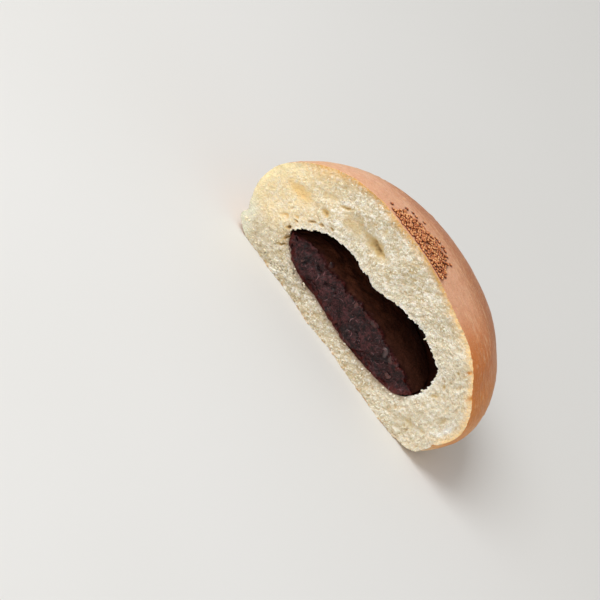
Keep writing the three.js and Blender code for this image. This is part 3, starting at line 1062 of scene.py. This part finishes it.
def crumb_material():
    mat = Material("crumb", Subsurface_Scale=0.8 * MM, **DRY)
    normal = mat.bump(mat.cells(0.6), 0.18)
    normal = mat.bump(mat.noise(0.4, 3), 0.16, normal)
    return mat.finish(crumb_colour(mat), normal=normal)


def tuft_material():
    """Loose crumb: whiter than the crumb that it lies on, and lighter and warmer at the left end,
    partly its own tone and partly painted light.
    """
    mat = Material("loose_crumb", Subsurface_Scale=0.6 * MM, **DRY)
    cream, white = (228, 216, 188), (247, 241, 224)
    colour = mat.ramp(mat.noise(2.5, 3), (0.35, cream), (0.65, white))
    # Lighter and warmer at the left end: partly its own tone, partly painted light.
    left = mat.ease(mat.along("X"), -16, -42, 0, 0.7)
    colour = mat.mix(left, colour, (255, 236, 194))
    return mat.finish(colour, normal=mat.bump(mat.noise(0.3, 2), 0.08))


def pocket_material():
    """The crumb of the pocket, soaked dark by the paste up to a thin pale rim."""
    mat = Material("soaked_crumb", Specular_IOR_Level=0.45, Coat_Weight=0.15)
    wobble = mat.vary(1.3, -0.2, 0.2)
    from_rim = mat.maths("ADD", mat.fact("from_rim"), wobble)
    soaked = mat.ease(from_rim, 0.1, 0.45)
    dark = mat.ramp(mat.noise(5, 3), (0.35, (58, 27, 16)), (0.65, (84, 42, 25)))
    colour = mat.mix(soaked, crumb_colour(mat), dark)
    roughness = mat.ease(soaked, 0, 1, 0.85, 0.38)
    normal = mat.bump(mat.noise(0.9, 3), 0.2)
    return mat.finish(colour, roughness, normal)


def hollow_brown_with_painted_light(mat):
    """Warm brown of the paste inside the hollow, painted lighter than its face and lighter deep
    inside than at the front, as painted light for light bouncing in the hollow.
    """
    to_right = mat.ease(mat.along("X"), -8, 22, 0, 0.85)
    # Painted light: darker at the front and lighter deep inside, to offset the shade of the
    # hollow.
    front = mat.ease(mat.along("Y"), -14, -22, 0, 0.8)
    return mat.paint(
        mat.ramp(mat.noise(3, 4), (0.35, (72, 38, 27)), (0.65, (138, 82, 58))),
        (to_right, (94, 56, 42)),
        (front, (58, 30, 22)),
    )


def paste_material():
    """Mashed paste: purple brown, with reddish edges where the light shines through."""
    mat = Material("bean_paste", Specular_IOR_Level=0.2, Coat_Weight=0.1, Coat_Roughness=0.1)
    colour = mat.ramp(
        mat.noise(2.8, 5),
        (0.32, (14, 4, 5)),
        (0.5, (40, 14, 15)),
        (0.66, (74, 35, 37)),
    )
    edge = mat.maths("ADD", mat.fact("edge"), mat.vary(1.3, -0.35, 0.35))
    colour = mat.paint(
        colour,
        (mat.patches(0.4, 0.54, 0.66, 0.55, 2), (102, 54, 56)),
        (mat.patches(0.7, 0.46, 0.34, 0.85), (12, 3, 4)),
        (mat.ease(edge, 0.15, 0.95, 0, 0.85), (84, 24, 16)),
        (mat.fact("inside"), hollow_brown_with_painted_light(mat)),
    )
    roughness = mat.ease(mat.noise(1.1), 0.35, 0.65, 0.32, 0.6)
    normal = mat.bump(mat.noise(0.5, 3), 0.26)
    return mat.finish(colour, roughness, normal)


WET = {"Coat_Weight": 0.2, "Coat_Roughness": 0.2}


def bean_skin_material():
    mat = Material("bean_skin", **WET)
    colour = mat.mix(mat.fact("tone"), (34, 12, 13), (120, 74, 76))
    return mat.finish(colour, mat.vary(0.8, 0.3, 0.5))


def bean_flake_material():
    mat = Material("bean_flake", **WET)
    colour = mat.ramp(mat.noise(1.5, 4), (0.35, (36, 12, 10)), (0.7, (84, 34, 26)))
    return mat.finish(colour, mat.vary(0.8, 0.3, 0.5))


def seed_material():
    """Tan poppy seeds: a random tone for each seed, mixed with painted shade low on it and a
    painted highlight on its top.
    """
    mat = Material("poppy_seed", Roughness=0.3, Specular_IOR_Level=0.6)
    colour = mat.ramp(
        mat.fact("tone"),
        (0.15, (66, 24, 8)),
        (0.45, (148, 72, 30)),
        (0.72, (200, 112, 52)),
        (1.0, (246, 190, 128)),
    )
    normal = mat.bump(mat.cells(0.16), 0.02)
    return mat.finish(colour, normal=normal)


def floor_material():
    mat = Material("floor", Roughness=0.6)
    colour = mat.ramp(mat.noise(240, 2), (0.3, (226, 225, 222)), (0.7, (231, 230, 228)))
    return mat.finish(colour)


# --- The bun ---


def add_bread(random):
    """Adds the bread, and its loose tufts and seeds."""
    places = seed_places(bread, random)
    from_seed = distance_to(np.array([centre for centre, *_ in places]), bread.points)
    shade = (1 - ease(from_seed, 0.5, 1.0)) * ease(bread.points[:, 1], 0.1, 1)
    facts = {**bread_facts, "shade": shade}
    materials = [crust_material(), crumb_material(), pocket_material()]
    mesh = add_piece("bread_half", bread, materials, "bread", "bread", **facts)
    mesh.polygons.foreach_set("material_index", bread.materials)

    loose, _ = scatter(make_pod(*TUFT_BODY), crumb_places(bread, random, LOOSE_TUFTS))
    loose.points += TUFT_WARP * warp(loose.points, 0.45, 95)
    add_piece("crumb_tufts", loose, [tuft_material()], "bread", "bread")

    seeds, body = scatter(make_pod(*SEED_BODY), places)
    own_tone = np.repeat(random.random(len(places)), len(body))
    # Painted light: each seed is painted lighter on its top and darker low down.
    painted_seed_light = np.tile(ease(body[:, 2], -0.1, 0.35), len(places))
    tone = 0.35 * own_tone + 0.65 * painted_seed_light
    add_piece("poppy_seeds", seeds, [seed_material()], "bread", "bread", tone=tone)


def add_paste(random):
    """Adds the bean paste, and the skins and flakes on its cut face."""
    paste, facts = make_paste_surface()
    add_piece("bean_paste_mash", paste, [paste_material()], "bean_paste", "bean_paste", **facts)

    spots = np.stack([random.uniform(*ends, BEAN_SKINS) for ends in SKIN_RANGES], axis=1)
    skins, body = scatter(make_pod(*SKIN_BODY), paste_places(paste, random, spots, SKIN_LEAN))
    tone = np.repeat(random.random(len(skins.points) // len(body)), len(body))
    material = bean_skin_material()
    add_piece("bean_skins", skins, [material], "bean_paste", "bean_paste", tone=tone)

    spots = np.concatenate([BEAN_SPOTS, spots[:MORE_FLAKES]])
    flakes, _ = scatter(make_pod(*FLAKE_BODY), paste_places(paste, random, spots, FLAKE_LEAN))
    flakes.points += FLAKE_WARP * warp(flakes.points, 0.9, 91)
    add_piece("bean_flakes", flakes, [bean_flake_material()], "bean_paste", "bean_paste")


# --- Camera, lights and floor ---

PICTURE_SIZE = 600
PIXELS_PER_MM = 3.434
CAMERA_AZIMUTH = math.radians(12.5)
CAMERA_ELEVATION = math.radians(27.1)
CAMERA_ROLL = math.radians(-48.04)
CAMERA_DISTANCE = 2500
ANCHOR = np.array([-29.55, 0, 0])  # a point of the base's edge, in the bun's own frame
ANCHOR_PIXEL = (263, 260)

# Soft square lights by their direction in the picture, as (name, across, up, towards the
# camera, size, power). Sizes and distances are in metres, powers in watts.
LIGHTS = [
    ("key", 0.05, 0.85, 0.55, 0.7, 7),
    ("fill", -0.35, 0.1, 1, 1.0, 2.9),
    ("window", 0.38, 0.68, -0.67, 0.7, 0.25),
    ("bounce", 0.8, -0.5, 0.8, 1.0, 0.8),
]
LIGHT_DISTANCE = 1.0
LIT_HEIGHT = 0.02
WORLD_STRENGTH = 0.45
FLOOR_REACH = 4


def camera_axes():
    """The directions to the right, up and towards the camera in the picture."""
    level_right = np.array([math.cos(CAMERA_AZIMUTH), math.sin(CAMERA_AZIMUTH), 0])
    lean, rise = math.sin(CAMERA_ELEVATION), math.cos(CAMERA_ELEVATION)
    level_up = np.array([-level_right[1] * lean, level_right[0] * lean, rise])
    turn, lift = math.cos(CAMERA_ROLL), math.sin(CAMERA_ROLL)
    right = turn * level_right - lift * level_up
    up = lift * level_right + turn * level_up
    return right, up, np.cross(right, up)


def add_camera():
    """Adds the camera, so that the anchor shows at its pixel of the picture."""
    right, up, back = camera_axes()
    across = (PICTURE_SIZE / 2 - ANCHOR_PIXEL[0]) / PIXELS_PER_MM
    down = (PICTURE_SIZE / 2 - ANCHOR_PIXEL[1]) / PIXELS_PER_MM
    aim = ANCHOR + across * right - down * up
    data = bpy.data.cameras.new("camera")
    data.lens = data.sensor_width * CAMERA_DISTANCE / (PICTURE_SIZE / PIXELS_PER_MM)
    camera = add_object("camera", data)
    place = (aim + SHIFT + CAMERA_DISTANCE * back) * MM
    turned = Matrix(np.stack([right, up, back], axis=1).tolist()).to_4x4()
    camera.matrix_world = Matrix.Translation(place.tolist()) @ turned
    bpy.context.scene.camera = camera


def add_light(name, across, up, back, size, power):
    axes = camera_axes()
    direction = across * axes[0] + up * axes[1] + back * axes[2]
    direction = Vector(direction.tolist()).normalized()
    data = bpy.data.lights.new(name, "AREA")
    data.size = size
    data.energy = power
    light = add_object(name, data)
    light.location = direction * LIGHT_DISTANCE + Vector((0, 0, LIT_HEIGHT))
    light.rotation_euler = direction.to_track_quat("Z", "Y").to_euler()
    light.visible_camera = False


def add_stage():
    """Adds the floor, the light all round, and the soft lights."""
    floor = bpy.data.meshes.new("floor")
    signs = [(-1, -1), (1, -1), (1, 1), (-1, 1)]
    corners = [(x * FLOOR_REACH, y * FLOOR_REACH, 0) for x, y in signs]
    floor.from_pydata(corners, [], [(0, 1, 2, 3)])
    floor.materials.append(floor_material())
    stage = add_object("floor", floor)
    world = bpy.data.worlds.new("world")
    world.use_nodes = True
    background = world.node_tree.nodes["Background"]
    background.inputs["Color"].default_value = srgb(244, 243, 240)
    background.inputs["Strength"].default_value = WORLD_STRENGTH
    bpy.context.scene.world = world
    for light in LIGHTS:
        add_light(*light)
    bpy.context.scene.view_settings.view_transform = "Standard"


bread, bread_facts = make_bread_surface()
fine_low, fine_high = bread.points.min(axis=0), bread.points.max(axis=0)
cad_low, cad_high = (np.array(corner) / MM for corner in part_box("bread"))
RIM_LINE = even_steps(POCKET_OUTLINE, 120, closed=True)
SHIFT = np.array(
    [(cad_low[0] + cad_high[0] - fine_low[0] - fine_high[0]) / 2, cad_high[1] - fine_high[1], 0]
)
random = np.random.default_rng(RANDOM_SEED)
add_bread(random)
add_paste(random)
add_stage()
add_camera()
